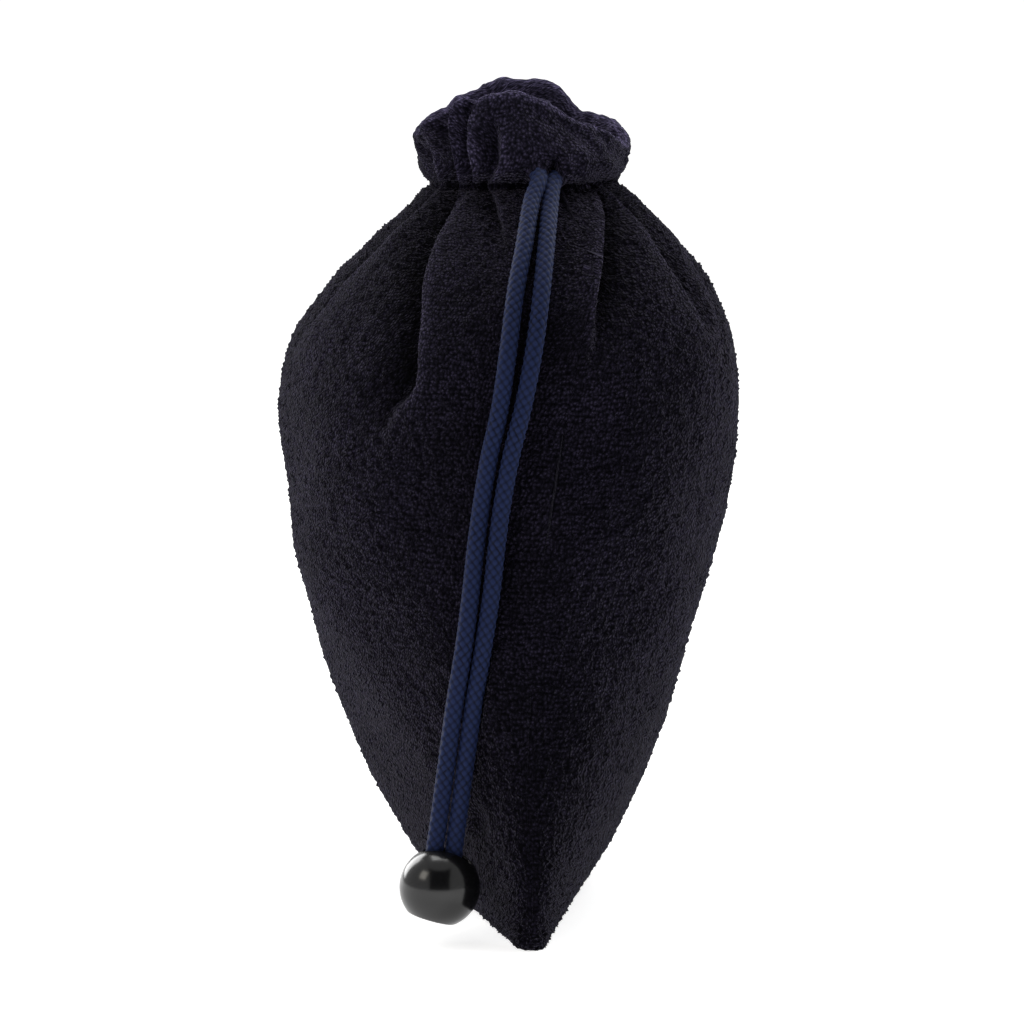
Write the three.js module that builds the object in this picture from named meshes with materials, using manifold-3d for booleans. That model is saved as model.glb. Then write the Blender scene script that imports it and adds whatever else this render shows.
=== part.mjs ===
// A kinchaku: a soft drawstring pouch that stands on its bottom seam, filled out and drawn shut.
// Units are millimetres. +Z is up, the side seams are at +X and -X, and the cord leaves at +X.
// The origin is on the surface that the pouch stands on, under the middle of its base.
import * as THREE from 'three';
import { mergeVertices } from 'three/addons/utils/BufferGeometryUtils.js';
import Module from 'manifold-3d';

// cloth
const clothThickness = 2.0;
const seamGap = 0.3;              // between the two panels along the side and bottom seams
const rimHeight = 167.0;          // top fold of the doubled header
const neckHeight = 147.5;         // where the cord draws the cloth in
const headerShift = 2.0;          // the header leans this far towards the back panel
const seamTwist = THREE.MathUtils.degToRad(15);   // turn of the side seam at the neck
const pleatCount = 14;
const pleatDepth = 0.05;          // share of the radius
const pleatStart = 112;           // height where the pleats begin
const pinchShare = 0.95;          // how far the lower part is drawn to a point at the side seams
const pinchTop = 105;
const aroundSteps = 72;
const mergeDistance = 1e-4;

// cord, knot and bead
const cordDiameter = 3.5;
const cordSides = 8;
const cordSteps = 76;
const stationSteps = 12;          // steps of the outer curve between two profile points
const channelSteps = 32;
const channelClearance = 0.5;     // between the cord and the channel in the header
const beadRadius = 8.0;
const beadFlat = 6.4;             // from the middle of the bead down to its flat end
const beadSegments = 32;
const beadRings = 16;
const recessRadius = 4.15;        // recess that takes the knot, open at the flat end
const recessTop = 1.6;            // its top, above the middle of the bead
const holeLength = 8.6;           // oval hole for the two strands
const holeWidth = 4.6;
const knotRadius = 3.7;
const knotHeight = 5.6;
const knotTop = 1.1;              // above the middle of the bead
const touchGap = 0.3;             // between pieces that touch

const clothColour = 0x15141d;
const cordColour = 0x1b2440;
const beadColour = 0x0c0c0d;

// The bead hangs here, and slides up the two strands along strandAxis.
const beadCentre = new THREE.Vector3(68.0, -17.7, 11.0);
const strandAxis = new THREE.Vector3(-1.8, 6.8, 49.0).normalize();
const strandSide = new THREE.Vector3(0.058, 0.998, 0)     // from the front strand to the back one
  .projectOnPlane(strandAxis).normalize();
const strandPitch = 3.7;

// The cord from the slit in the side seam, round inside the header and out again, seen from above
// counterclockwise. Its two strands then lie down the side of the pouch to the knot.
const backStrand = [
  [66.5, -8.9, 58.5], [65.1, -7.2, 69.0], [63.6, -6.1, 78.0], [62.0, -4.7, 87.5],
  [60.9, -2.9, 96.5], [59.7, -0.7, 105.0], [57.3, 1.6, 116.0], [50.6, 3.6, 127.5],
  [42.2, 5.0, 135.8], [31.0, 6.5, 143.5], [24.0, 7.6, 149.2],
];
const headerLoop = [
  [19.4, 9.5, 151.0], [14.6, 12.2, 151.8], [9.2, 14.8, 152.0], [2.4, 16.6, 152.0],
  [-5.0, 15.6, 152.0], [-11.1, 11.3, 152.0], [-14.3, 4.5, 152.0], [-13.6, -3.0, 152.0],
  [-9.3, -9.1, 152.0], [-2.5, -12.3, 152.0], [4.2, -12.0, 152.0], [10.0, -8.8, 152.0],
  [14.6, -3.4, 152.0], [19.2, 1.9, 152.2],
];
const frontStrand = [
  [25.4, 4.9, 150.9], [32.0, 2.8, 145.1], [42.4, 0.6, 136.2], [50.4, -1.6, 127.3],
  [57.1, -3.5, 115.8], [59.3, -5.3, 104.5], [60.3, -7.3, 95.8], [61.2, -8.8, 87.2],
  [62.9, -10.2, 77.7], [64.7, -11.3, 68.6], [66.3, -12.7, 58.5],
];

// Half width (X), half depth (Y) and height of the outside of the cloth, from base to rim.
const outerProfile = [
  [77.5, 10.5, 0], [79.5, 15.5, 3], [79.0, 21.5, 10], [76.5, 28.0, 21], [73.0, 34.2, 38],
  [68.5, 40.5, 58], [63.0, 45.2, 79], [58.5, 47.6, 99], [56.0, 45.6, 113], [50.0, 39.5, 125],
  [40.5, 31.5, 135], [28.5, 24.0, 143], [21.5, 20.5, neckHeight], [22.8, 22.6, 152.5],
  [21.5, 20.6, 159], [19.5, 18.0, 164.5], [17.0, 15.5, rimHeight],
];

// Thickness of the cloth and height, from the rim down the inside: gathers fill the neck.
const innerProfile = [
  [5.0, 166], [7.5, 160], [11.8, 153], [12.6, neckHeight], [9.0, 141.5], [4.0, 136.5],
  [2.2, 130], [clothThickness, 120], [clothThickness, 99], [clothThickness, 79],
  [clothThickness, 58], [clothThickness, 38], [clothThickness, 21], [clothThickness, 10],
  [clothThickness, 4.5], [clothThickness, clothThickness],
];

const wasm = await Module();
wasm.setup();

// Merges a closed geometry's shared vertices and hands it to manifold-3d.
function solidFrom(geometry) {
  const bare = geometry.clone();
  bare.deleteAttribute('normal');
  bare.deleteAttribute('uv');
  const merged = mergeVertices(bare, mergeDistance);
  return new wasm.Manifold(new wasm.Mesh({
    numProp: 3,
    vertProperties: new Float32Array(merged.attributes.position.array),
    triVerts: new Uint32Array(merged.index.array),
  }));
}

function geometryFrom(solid) {
  const mesh = solid.getMesh();
  const geometry = new THREE.BufferGeometry();
  geometry.setAttribute('position', new THREE.BufferAttribute(mesh.vertProperties, 3));
  geometry.setIndex(new THREE.BufferAttribute(mesh.triVerts, 1));
  geometry.computeVertexNormals();
  return geometry;
}

function namedMesh(name, geometry, material) {
  const mesh = new THREE.Mesh(geometry, material);
  mesh.name = name;
  return mesh;
}

// Half width and half depth of the outside at any height, by straight steps along a smooth curve.
const outerCurve = new THREE.CatmullRomCurve3(
  outerProfile.map(([width, depth, height]) => new THREE.Vector3(width, depth, height)),
);
const outerStations = outerCurve.getPoints(outerProfile.length * stationSteps);
function outerAt(height) {
  const above = outerStations.findIndex((station) => station.z >= height - 1e-6);
  const upper = outerStations[Math.max(above, 1)];
  const lower = outerStations[Math.max(above, 1) - 1];
  const share = THREE.MathUtils.clamp((height - lower.z) / (upper.z - lower.z), 0, 1);
  return lower.clone().lerp(upper, share);
}

// A point of the cloth: an ellipse above, drawn to a point at the side seams below, and pleated
// from the shoulders up to the rim.
function clothPoint(angle, height, inset) {
  const outer = outerAt(height);
  const pinch = pinchShare * (1 - THREE.MathUtils.smoothstep(height, 0, pinchTop));
  const pleat = 1 + pleatDepth * THREE.MathUtils.smoothstep(height, pleatStart, neckHeight)
    * Math.cos(pleatCount * angle);
  const sine = Math.sin(angle);
  return new THREE.Vector3(
    (outer.x - inset) * Math.cos(angle) * pleat,
    (outer.y - inset) * sine * Math.abs(sine) ** pinch * pleat,
    height,
  );
}

// The whole pouch as one closed wall: a lathe of the outer and inner profile, whose rings are
// then moved to the pouch's sections.
function pouchWall() {
  const latheRadius = 50;
  const stations = [
    { height: 0, inset: null },
    ...outerProfile.map(([, , height]) => ({ height, inset: 0 })),
    ...innerProfile.map(([inset, height]) => ({ height, inset })),
    { height: clothThickness, inset: null },
  ];
  const lathe = new THREE.LatheGeometry(
    stations.map(({ height, inset }) => new THREE.Vector2(inset === null ? 0 : latheRadius - inset, height)),
    aroundSteps,
  );
  const position = lathe.attributes.position;
  for (let step = 0; step <= aroundSteps; step += 1) {
    const angle = (step % aroundSteps) * 2 * Math.PI / aroundSteps;
    stations.forEach(({ height, inset }, row) => {
      const point = inset === null
        ? new THREE.Vector3(0, 0, height)
        : clothPoint(angle, height, inset);
      position.setXYZ(step * stations.length + row, point.x, point.y, point.z);
    });
  }
  return solidFrom(lathe);
}

// Turns and leans a section of the pouch: the side seam winds towards the back panel on its way
// up, and the header leans the same way.
function windUp(geometry) {
  const position = geometry.attributes.position;
  const point = new THREE.Vector3();
  const up = new THREE.Vector3(0, 0, 1);
  for (let index = 0; index < position.count; index += 1) {
    point.fromBufferAttribute(position, index);
    point.applyAxisAngle(up, seamTwist * (point.z / neckHeight) ** 2);
    point.y += headerShift * THREE.MathUtils.smoothstep(point.z, pleatStart, neckHeight);
    position.setXYZ(index, point.x, point.y, point.z);
  }
  return geometry;
}

// One half of the pouch's wall, cut just clear of the seam plane, with the cord's channel in it.
function panel(wall, side, channels) {
  const reach = 200;
  const half = new THREE.BoxGeometry(2 * reach, reach, 2 * reach);
  half.translate(0, side * (reach / 2 + seamGap / 2), 0);
  let solid = solidFrom(windUp(geometryFrom(wall.intersect(solidFrom(half)))));
  for (const channel of channels) solid = solid.subtract(channel);
  return geometryFrom(solid);
}

// A round tube along a smooth curve through the points.
function tubeAlong(points, radius, steps) {
  const section = new THREE.Shape();
  for (let side = 0; side < cordSides; side += 1) {
    const angle = (side + 0.5) * 2 * Math.PI / cordSides;
    const x = radius * Math.cos(angle);
    const y = radius * Math.sin(angle);
    if (side === 0) section.moveTo(x, y);
    else section.lineTo(x, y);
  }
  section.closePath();
  return new THREE.ExtrudeGeometry(section, {
    steps,
    bevelEnabled: false,
    extrudePath: new THREE.CatmullRomCurve3(points, false, 'centripetal'),
  });
}

// Points of one straight strand end, from inside the bead up to where the listed route begins.
function strandEnd(side) {
  const start = knotTop + touchGap;
  return [start, 12, 24, 36].map((along) => beadCentre.clone()
    .addScaledVector(strandAxis, along)
    .addScaledVector(strandSide, side * strandPitch / 2));
}

// Stands a piece made on the Z axis along the strands, with its origin at the bead's middle.
function alongStrands(geometry) {
  const frame = new THREE.Matrix4().makeBasis(
    new THREE.Vector3().crossVectors(strandSide, strandAxis),
    strandSide,
    strandAxis,
  );
  return geometry.applyMatrix4(frame.setPosition(beadCentre));
}

// A ball with its lower end cut flat.
function truncatedBall() {
  const start = Math.acos(beadFlat / beadRadius);
  const profile = [new THREE.Vector2(0, -beadFlat)];
  for (let ring = 0; ring <= beadRings; ring += 1) {
    const angle = start + (Math.PI - start) * ring / beadRings;
    const radius = ring === beadRings ? 0 : beadRadius * Math.sin(angle);
    profile.push(new THREE.Vector2(radius, -beadRadius * Math.cos(angle)));
  }
  return new THREE.LatheGeometry(profile, beadSegments).rotateX(Math.PI / 2);
}

function cordEndBead() {
  const recess = new THREE.CylinderGeometry(recessRadius, recessRadius, beadRadius + recessTop, 24)
    .rotateX(Math.PI / 2)
    .translate(0, 0, (recessTop - beadRadius) / 2);
  const straight = (holeLength - holeWidth) / 2;
  const oval = new THREE.Shape();
  oval.absarc(0, straight, holeWidth / 2, 0, Math.PI);
  oval.absarc(0, -straight, holeWidth / 2, Math.PI, 2 * Math.PI);
  oval.closePath();
  const hole = new THREE.ExtrudeGeometry(oval, {
    depth: 2 * beadRadius, bevelEnabled: false, curveSegments: 8,
  });
  const bead = solidFrom(truncatedBall()).subtract(solidFrom(recess)).subtract(solidFrom(hole));
  return alongStrands(geometryFrom(bead));
}

// The knot that both strands end in, pulled tight into the recess of the bead.
function endKnot() {
  const knot = new THREE.SphereGeometry(knotRadius, 16, 10)
    .rotateX(Math.PI / 2)
    .scale(1, 1, knotHeight / 2 / knotRadius)
    .translate(0, 0, knotTop - knotHeight / 2);
  return alongStrands(geometryFrom(solidFrom(knot)));
}

const toPoints = (list) => list.map((point) => new THREE.Vector3(...point));
const backRun = [...strandEnd(1), ...toPoints(backStrand)];
const frontRun = [...toPoints(frontStrand), ...strandEnd(-1).reverse()];
const route = [...backRun, ...toPoints(headerLoop), ...frontRun];
const middle = headerLoop.length / 2;
const channelRadius = cordDiameter / 2 + channelClearance;
const channels = [
  [...toPoints(backStrand.slice(-3)), ...toPoints(headerLoop.slice(0, middle + 2))],
  [...toPoints(headerLoop.slice(middle - 1)), ...toPoints(frontStrand.slice(0, 3))],
].map((points) => solidFrom(tubeAlong(points, channelRadius, channelSteps)));

const cloth = new THREE.MeshStandardMaterial({ color: clothColour, roughness: 0.95, metalness: 0 });
const braid = new THREE.MeshStandardMaterial({ color: cordColour, roughness: 0.75, metalness: 0 });
const gloss = new THREE.MeshStandardMaterial({ color: beadColour, roughness: 0.06, metalness: 0 });

const pouch = new THREE.Group();
const wall = pouchWall();
pouch.add(namedMesh('front_panel', panel(wall, -1, channels), cloth));
pouch.add(namedMesh('back_panel', panel(wall, 1, channels), cloth));
pouch.add(namedMesh('drawstring_cord', tubeAlong(route, cordDiameter / 2, cordSteps), braid));
pouch.add(namedMesh('cord_end_bead', cordEndBead(), gloss));
pouch.add(namedMesh('end_knot', endKnot(), braid));

export default pouch;
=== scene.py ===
import math

import bpy
import numpy as np
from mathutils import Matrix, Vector


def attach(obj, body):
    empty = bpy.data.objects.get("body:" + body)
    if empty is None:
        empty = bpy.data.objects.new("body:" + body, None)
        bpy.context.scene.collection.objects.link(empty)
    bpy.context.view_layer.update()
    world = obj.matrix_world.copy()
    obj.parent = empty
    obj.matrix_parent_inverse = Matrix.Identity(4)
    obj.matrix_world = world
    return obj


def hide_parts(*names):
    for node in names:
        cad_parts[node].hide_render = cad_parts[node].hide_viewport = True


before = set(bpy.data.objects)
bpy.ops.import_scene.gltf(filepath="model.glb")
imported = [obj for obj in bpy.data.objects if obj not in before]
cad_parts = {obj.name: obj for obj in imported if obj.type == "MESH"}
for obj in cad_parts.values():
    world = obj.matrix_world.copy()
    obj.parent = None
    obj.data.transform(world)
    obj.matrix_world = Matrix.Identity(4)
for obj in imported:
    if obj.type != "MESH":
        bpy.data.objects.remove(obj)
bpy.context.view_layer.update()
mm = 0.001
print("frame loaded")


view = {
    "azimuth": 86.7,      # degrees round from -Y, so the side seam that the cord leaves is in front
    "elevation": 6.5,     # degrees above level
    "distance": 1.0,
    "target": (0.0, 0.0006, 0.0777),
    "lens": 167.0,
}


def lookFrom(azimuth, elevation, distance, target):
    # unit vector from the target to the eye, times the distance
    around, up = math.radians(azimuth), math.radians(elevation)
    back = np.array([math.sin(around) * math.cos(up), -math.cos(around) * math.cos(up), math.sin(up)])
    return np.array(target) + distance * back


def aimAt(thing, place, target):
    # cameras and area lights look along their own -Z
    thing.location = place
    thing.rotation_euler = (Vector(target) - Vector(place)).to_track_quat("-Z", "Y").to_euler()


def makeCamera():
    # a long lens on the target
    data = bpy.data.cameras.new("camera")
    data.lens = view["lens"]
    data.clip_start, data.clip_end = 0.05, 20.0
    camera = bpy.data.objects.new("camera", data)
    bpy.context.collection.objects.link(camera)
    eye = lookFrom(view["azimuth"], view["elevation"], view["distance"], view["target"])
    aimAt(camera, eye, view["target"])
    bpy.context.scene.camera = camera


makeCamera()
print("camera placed")


def smoothStep(value, low, high):
    # 0 below low, 1 above high, and 3 t^2 - 2 t^3 between them
    share = np.clip((value - low) / (high - low), 0, 1)
    return share * share * (3 - 2 * share)


def lengthsAlong(points):
    # distance along the points from the first one to each
    return np.concatenate([[0], np.cumsum(np.linalg.norm(np.diff(points, axis=0), axis=1))])


def smoothPath(points, spacing, steps=40):
    # centripetal Catmull-Rom curve through the points, then marks an equal spacing apart along it
    points = np.array(points, float)
    points = np.vstack([2 * points[0] - points[1], points, 2 * points[-1] - points[-2]])
    knots = np.concatenate([[0], np.cumsum(np.linalg.norm(np.diff(points, axis=0), axis=1) ** 0.5)])
    dense = []
    for start in range(len(points) - 3):
        t0, t1, t2, t3 = knots[start:start + 4]
        p0, p1, p2, p3 = points[start:start + 4]
        t = np.linspace(t1, t2, steps, endpoint=False)[:, None]
        a1 = ((t1 - t) * p0 + (t - t0) * p1) / (t1 - t0)
        a2 = ((t2 - t) * p1 + (t - t1) * p2) / (t2 - t1)
        a3 = ((t3 - t) * p2 + (t - t2) * p3) / (t3 - t2)
        b1 = ((t2 - t) * a1 + (t - t0) * a2) / (t2 - t0)
        b2 = ((t3 - t) * a2 + (t - t1) * a3) / (t3 - t1)
        dense.append(((t2 - t) * b1 + (t - t1) * b2) / (t2 - t1))
    dense = np.vstack(dense + [points[-2][None]])
    along = lengthsAlong(dense)
    marks = np.linspace(0, along[-1], max(int(round(along[-1] / spacing)), 2) + 1)
    return np.stack([np.interp(marks, along, column) for column in dense.T], axis=1)


def unit(vectors):
    # each vector over its own length
    return vectors / np.maximum(np.linalg.norm(vectors, axis=-1, keepdims=True), 1e-12)


def smoothNoise(shape, blurRows, blurColumns, seed):
    # random numbers blurred by a bell curve about so many rows and columns wide, brought back to a spread
    # of 1; the blur multiplies each frequency f by exp(-18 (f width)^2)
    noise = np.random.default_rng(seed).standard_normal(shape)
    rows = np.fft.fftfreq(shape[0])[:, None] * blurRows
    columns = np.fft.rfftfreq(shape[1])[None, :] * blurColumns
    noise = np.fft.irfft2(np.fft.rfft2(noise) * np.exp(-18 * (rows ** 2 + columns ** 2)), s=shape)
    return noise / noise.std()


def gridFaces(rows, columns, closedRows=False, closedColumns=False):
    # four corners of every cell of a grid whose points are numbered row by row
    r = np.arange(rows if closedRows else rows - 1)[:, None]
    c = np.arange(columns if closedColumns else columns - 1)[None, :]
    nextRow, nextColumn = (r + 1) % rows, (c + 1) % columns
    corners = [r * columns + c, r * columns + nextColumn,
               nextRow * columns + nextColumn, nextRow * columns + c]
    return np.stack([np.broadcast_to(corner, (r.size, c.size)).ravel() for corner in corners], axis=1)


def makePiece(name, points, faceGroups, uv=None, smooth=True):
    # points is (n, 3); each face group is an array with one row of corners per face
    mesh = bpy.data.meshes.new(name)
    faceGroups = [np.asarray(group) for group in faceGroups if len(group)]
    corners = np.concatenate([group.ravel() for group in faceGroups])
    sizes = np.concatenate([np.full(len(group), group.shape[1]) for group in faceGroups])
    starts = np.concatenate([[0], np.cumsum(sizes)[:-1]])
    mesh.vertices.add(len(points))
    mesh.vertices.foreach_set("co", np.asarray(points, np.float32).ravel())
    mesh.loops.add(len(corners))
    mesh.loops.foreach_set("vertex_index", corners.astype(np.int32))
    mesh.polygons.add(len(sizes))
    mesh.polygons.foreach_set("loop_start", starts.astype(np.int32))
    mesh.polygons.foreach_set("loop_total", sizes.astype(np.int32))
    if uv is not None:
        layer = mesh.uv_layers.new(name="cloth")
        layer.data.foreach_set("uv", np.asarray(uv, np.float32)[corners].ravel())
    mesh.update(calc_edges=True)
    mesh.validate()
    mesh.polygons.foreach_set("use_smooth", np.full(len(mesh.polygons), smooth))
    piece = bpy.data.objects.new(name, mesh)
    bpy.context.collection.objects.link(piece)
    return piece


def addValues(piece, name, values):
    # one number for each point, which a material reads by this name
    layer = piece.data.attributes.new(name, "FLOAT", "POINT")
    layer.data.foreach_set("value", np.asarray(values, np.float32).ravel())


cord = {
    "diameter": 0.0035,
    "length": 0.413,
    "yarns": 6,             # each way round the braid
    "stitch": 0.00095,      # length of one stitch along the cord
    "relief": 0.00028,      # how far the yarns stand proud
    "dip": 0.45,            # height of a stitch's ends, as a share of its middle's
    "level": 0.75,          # height of a stitch that lies at the cord's own radius
    "sides": 48,
    "spacing": 0.00024,     # between rings
    "dive": 0.0008,         # strands less than this above the header's cloth are covered by it
    "gap": 0.0004,          # kept between the cloth and the strands that lie on it
    "innerGap": 0.0008,     # and to the inside of the cloth
    "mostIn": 0.004,        # furthest that the cloth gives way, inwards and outwards
    "mostOut": 0.0016,
}
bead = {
    "centre": np.array([68.0, -17.7, 11.0]) * mm,
    "axis": unit(np.array([-1.8, 6.8, 49.0])),
    "radius": 0.0080,
    "travel": 0.0115,       # up the strands, a little more than the joint's range
    "flat": 0.0064,         # from its middle down to its flat end
    "edge": 0.0003,         # rounding of the flat end's rim
    "recess": 0.0045,       # radius of the hollow that hides the knot, and the height of its top
    "recessTop": 0.0016,
    "recessEdge": 0.0002,   # rounding of its mouth
    "holeLength": 0.0094,   # of the oval hole for both strands
    "holeWidth": 0.0046,
    "holeEdge": 0.0005,     # rounding of its rim
    "holeTop": 0.0055,      # height of the last ring on its straight wall
    "tilt": math.radians(8),    # of the ball on the strands, along the pair
    "pivot": -0.0006,       # height of the point about which it tilts
    "sides": 96,
    "rings": 56,            # down the round outside
}
strandPitch = 0.0037        # between the two strands' middles
knotTop = 0.0011            # height of the knot's top above the ball's middle
# from the front strand to the back one, square to the ball's axis
strandSide = np.array([0.058, 0.998, 0.0])
strandSide = unit(strandSide - strandSide.dot(bead["axis"]) * bead["axis"])

# route in millimetres, as the solid's: up the back strand, round inside the header, down the front one
backStrand = [
    (66.5, -8.9, 58.5), (65.1, -7.2, 69.0), (63.6, -6.1, 78.0), (62.0, -4.7, 87.5),
    (60.9, -2.9, 96.5), (59.7, -0.7, 105.0), (57.3, 1.6, 116.0), (50.6, 3.6, 127.5),
    (42.2, 5.0, 135.8), (31.0, 6.5, 143.5), (24.4, 7.6, 148.0),
]
headerLoop = [
    (19.0, 9.5, 149.4), (14.0, 12.2, 151.0), (9.2, 14.8, 152.0), (2.4, 16.6, 152.0),
    (-5.0, 15.6, 152.0), (-11.1, 11.3, 152.0), (-14.3, 4.5, 152.0), (-13.6, -3.0, 152.0),
    (-9.3, -9.1, 152.0), (-2.5, -12.3, 152.0), (4.2, -12.0, 152.0), (10.0, -8.8, 151.8),
    (14.6, -3.4, 151.0), (18.8, 2.2, 150.6),
]
frontStrand = [
    (25.2, 4.7, 149.2), (31.6, 2.8, 144.6), (42.4, 0.6, 136.2), (50.4, -1.6, 127.3),
    (57.1, -3.5, 115.8), (59.3, -5.3, 104.5), (60.3, -7.3, 95.8), (61.2, -8.8, 87.2),
    (62.9, -10.2, 77.7), (64.7, -11.3, 68.6), (66.3, -12.7, 58.5),
]


def strandEnd(side):
    # points of a strand that spreads out of the knot and goes straight up to where the listed route begins
    along = np.array([knotTop - 0.0024, knotTop - 0.0004, 0.0032, 0.012, 0.024, 0.036])[:, None]
    spread = np.array([0.35, 0.55, 0.95, 1.0, 1.0, 1.0])[:, None]
    return bead["centre"] + along * bead["axis"] + side * spread * strandPitch / 2 * strandSide


def cordRoute():
    # up from the knot, round the header and back down to the knot
    listed = [np.array(part) * mm for part in (backStrand, headerLoop, frontStrand)]
    return smoothPath(np.vstack([strandEnd(1), *listed, strandEnd(-1)[::-1]]), cord["spacing"])


def ringFrames(path):
    # a side direction carried along the path with the least turning, and the one square to it
    tangent = unit(np.gradient(path, axis=0))
    side = np.empty_like(path)
    side[0] = unit(strandSide - strandSide.dot(tangent[0]) * tangent[0])
    for ring in range(1, len(path)):
        carried = side[ring - 1] - side[ring - 1].dot(tangent[ring]) * tangent[ring]
        side[ring] = carried / np.linalg.norm(carried)
    return side, np.cross(tangent, side)


def braidHeight(turn, along):
    # two sets of yarns cross at p = n turn + l / L and q = n turn - l / L; each cell of the p, q
    # grid shows one stitch, round across its yarn and lower at the ends where it dives under
    p = cord["yarns"] * turn + along / (2 * cord["stitch"])
    q = cord["yarns"] * turn - along / (2 * cord["stitch"])
    risingOnTop = (np.floor(p) + np.floor(q)) % 2 < 1
    across = np.where(risingOnTop, p, q) % 1 - 0.5
    lengthwise = np.where(risingOnTop, q, p) % 1 - 0.5
    lengthRise = cord["dip"] + (1 - cord["dip"]) * np.cos(np.pi * lengthwise)
    return np.sqrt(np.clip(np.cos(np.pi * across), 0, 1)) * lengthRise


def sweepRings(path, side, other, radius, turn):
    # path + radius (side cos a + other sin a), with a a whole turn round each ring
    angle = 2 * np.pi * turn
    return (path[:, None] + (radius * np.cos(angle))[..., None] * side[:, None]
            + (radius * np.sin(angle))[..., None] * other[:, None])


def braidedTube(name, path, diameter):
    # rings of radius + relief (stitch - level) along the path, closed by a fan of triangles at both ends
    side, other = ringFrames(path)
    along = lengthsAlong(path)[:, None]
    turn = (np.arange(cord["sides"]) / cord["sides"])[None, :]
    stitch = braidHeight(turn, along)
    radius = diameter / 2 + cord["relief"] * (stitch - cord["level"])
    points = sweepRings(path, side, other, radius, turn)
    rings, sides = points.shape[:2]
    count = rings * sides
    points = np.vstack([points.reshape(-1, 3), path[0], path[-1]])
    faces = gridFaces(rings, sides, closedColumns=True)[:, ::-1]
    rim = np.arange(sides)
    startCap = np.stack([np.full(sides, count), rim, (rim + 1) % sides], axis=1)
    lastRim = count - sides + rim
    endCap = np.stack([np.full(sides, count + 1), count - sides + (rim + 1) % sides, lastRim], axis=1)
    uv = np.stack(np.broadcast_arrays(turn * np.pi * diameter / mm, along / mm), axis=-1).reshape(-1, 2)
    uv = np.vstack([uv, [0, 0], [0, 0]])
    tube = makePiece(name, points, [faces, startCap, endCap], uv)
    addValues(tube, "stitch", np.append(stitch.ravel(), [0, 0]))
    return tube


cordPath = cordRoute()
drawstring = braidedTube("drawstring", cordPath, cord["diameter"])
print("drawstring braided,", len(cordPath), "rings")


knot = {
    "radius": 0.0037,
    "height": 0.0056,
    "strand": 0.00125,      # radius of the cord where the knot squeezes it
    "relief": 0.6,          # of its yarns, as a share of the free cord's
    "girth": 8.0,           # millimetres round it, for the fibres' pattern
    "rings": 260,
    "sides": 18,
}


def alongStrands(points, tilt=0):
    # from the strands' own axes, with their origin at the middle of the ball, to the frame's
    side = strandSide * math.cos(tilt) - bead["axis"] * math.sin(tilt)
    up = bead["axis"] * math.cos(tilt) + strandSide * math.sin(tilt)
    basis = np.stack([np.cross(side, up), side, up])
    return bead["centre"] + bead["pivot"] * (bead["axis"] - up) + points @ basis


def makeKnot():
    # a trefoil, x = sin t + 2 sin 2t, y = cos t - 2 cos 2t, z = -sin 3t, squeezed into the recess
    t = 2 * np.pi * np.arange(knot["rings"]) / knot["rings"]
    path = np.stack([np.sin(t) + 2 * np.sin(2 * t), np.cos(t) - 2 * np.cos(2 * t), -np.sin(3 * t)], axis=1)
    path *= [(knot["radius"] - knot["strand"]) / 3] * 2 + [knot["height"] / 2 - knot["strand"]]
    tangent = unit(np.roll(path, -1, axis=0) - np.roll(path, 1, axis=0))
    side = unit(np.cross(tangent, [0, 0, 1.0]))
    other = np.cross(tangent, side)
    turn = (np.arange(knot["sides"]) / knot["sides"])[None, :]
    along = np.cumsum(np.linalg.norm(np.roll(path, -1, axis=0) - path, axis=1))[:, None]
    stitch = braidHeight(turn, along)
    radius = knot["strand"] + knot["relief"] * cord["relief"] * (stitch - cord["level"])
    points = sweepRings(path, side, other, radius, turn)
    points[..., 2] += knotTop - knot["height"] / 2
    points = alongStrands(points.reshape(-1, 3))
    faces = gridFaces(knot["rings"], knot["sides"], closedRows=True, closedColumns=True)[:, ::-1]
    uv = np.stack(np.broadcast_arrays(turn * knot["girth"], along / mm), axis=-1).reshape(-1, 2)
    piece = makePiece("end_knot_wraps", points, [faces], uv)
    addValues(piece, "stitch", stitch)
    return piece


def holeOutline(angle):
    # distance from the axis to the rim of an oval hole: half / |cos| on its straight sides and
    # reach |sin| + sqrt(half^2 - (reach cos)^2) round its two half circles
    half, reach = bead["holeWidth"] / 2, (bead["holeLength"] - bead["holeWidth"]) / 2
    cosine, sine = np.abs(np.cos(angle)), np.abs(np.sin(angle))
    straight = half / np.maximum(cosine, 1e-6)
    rounded = reach * sine + np.sqrt(np.maximum(half ** 2 - (reach * cosine) ** 2, 0))
    return np.where(straight * sine < reach, straight, rounded)


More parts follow.
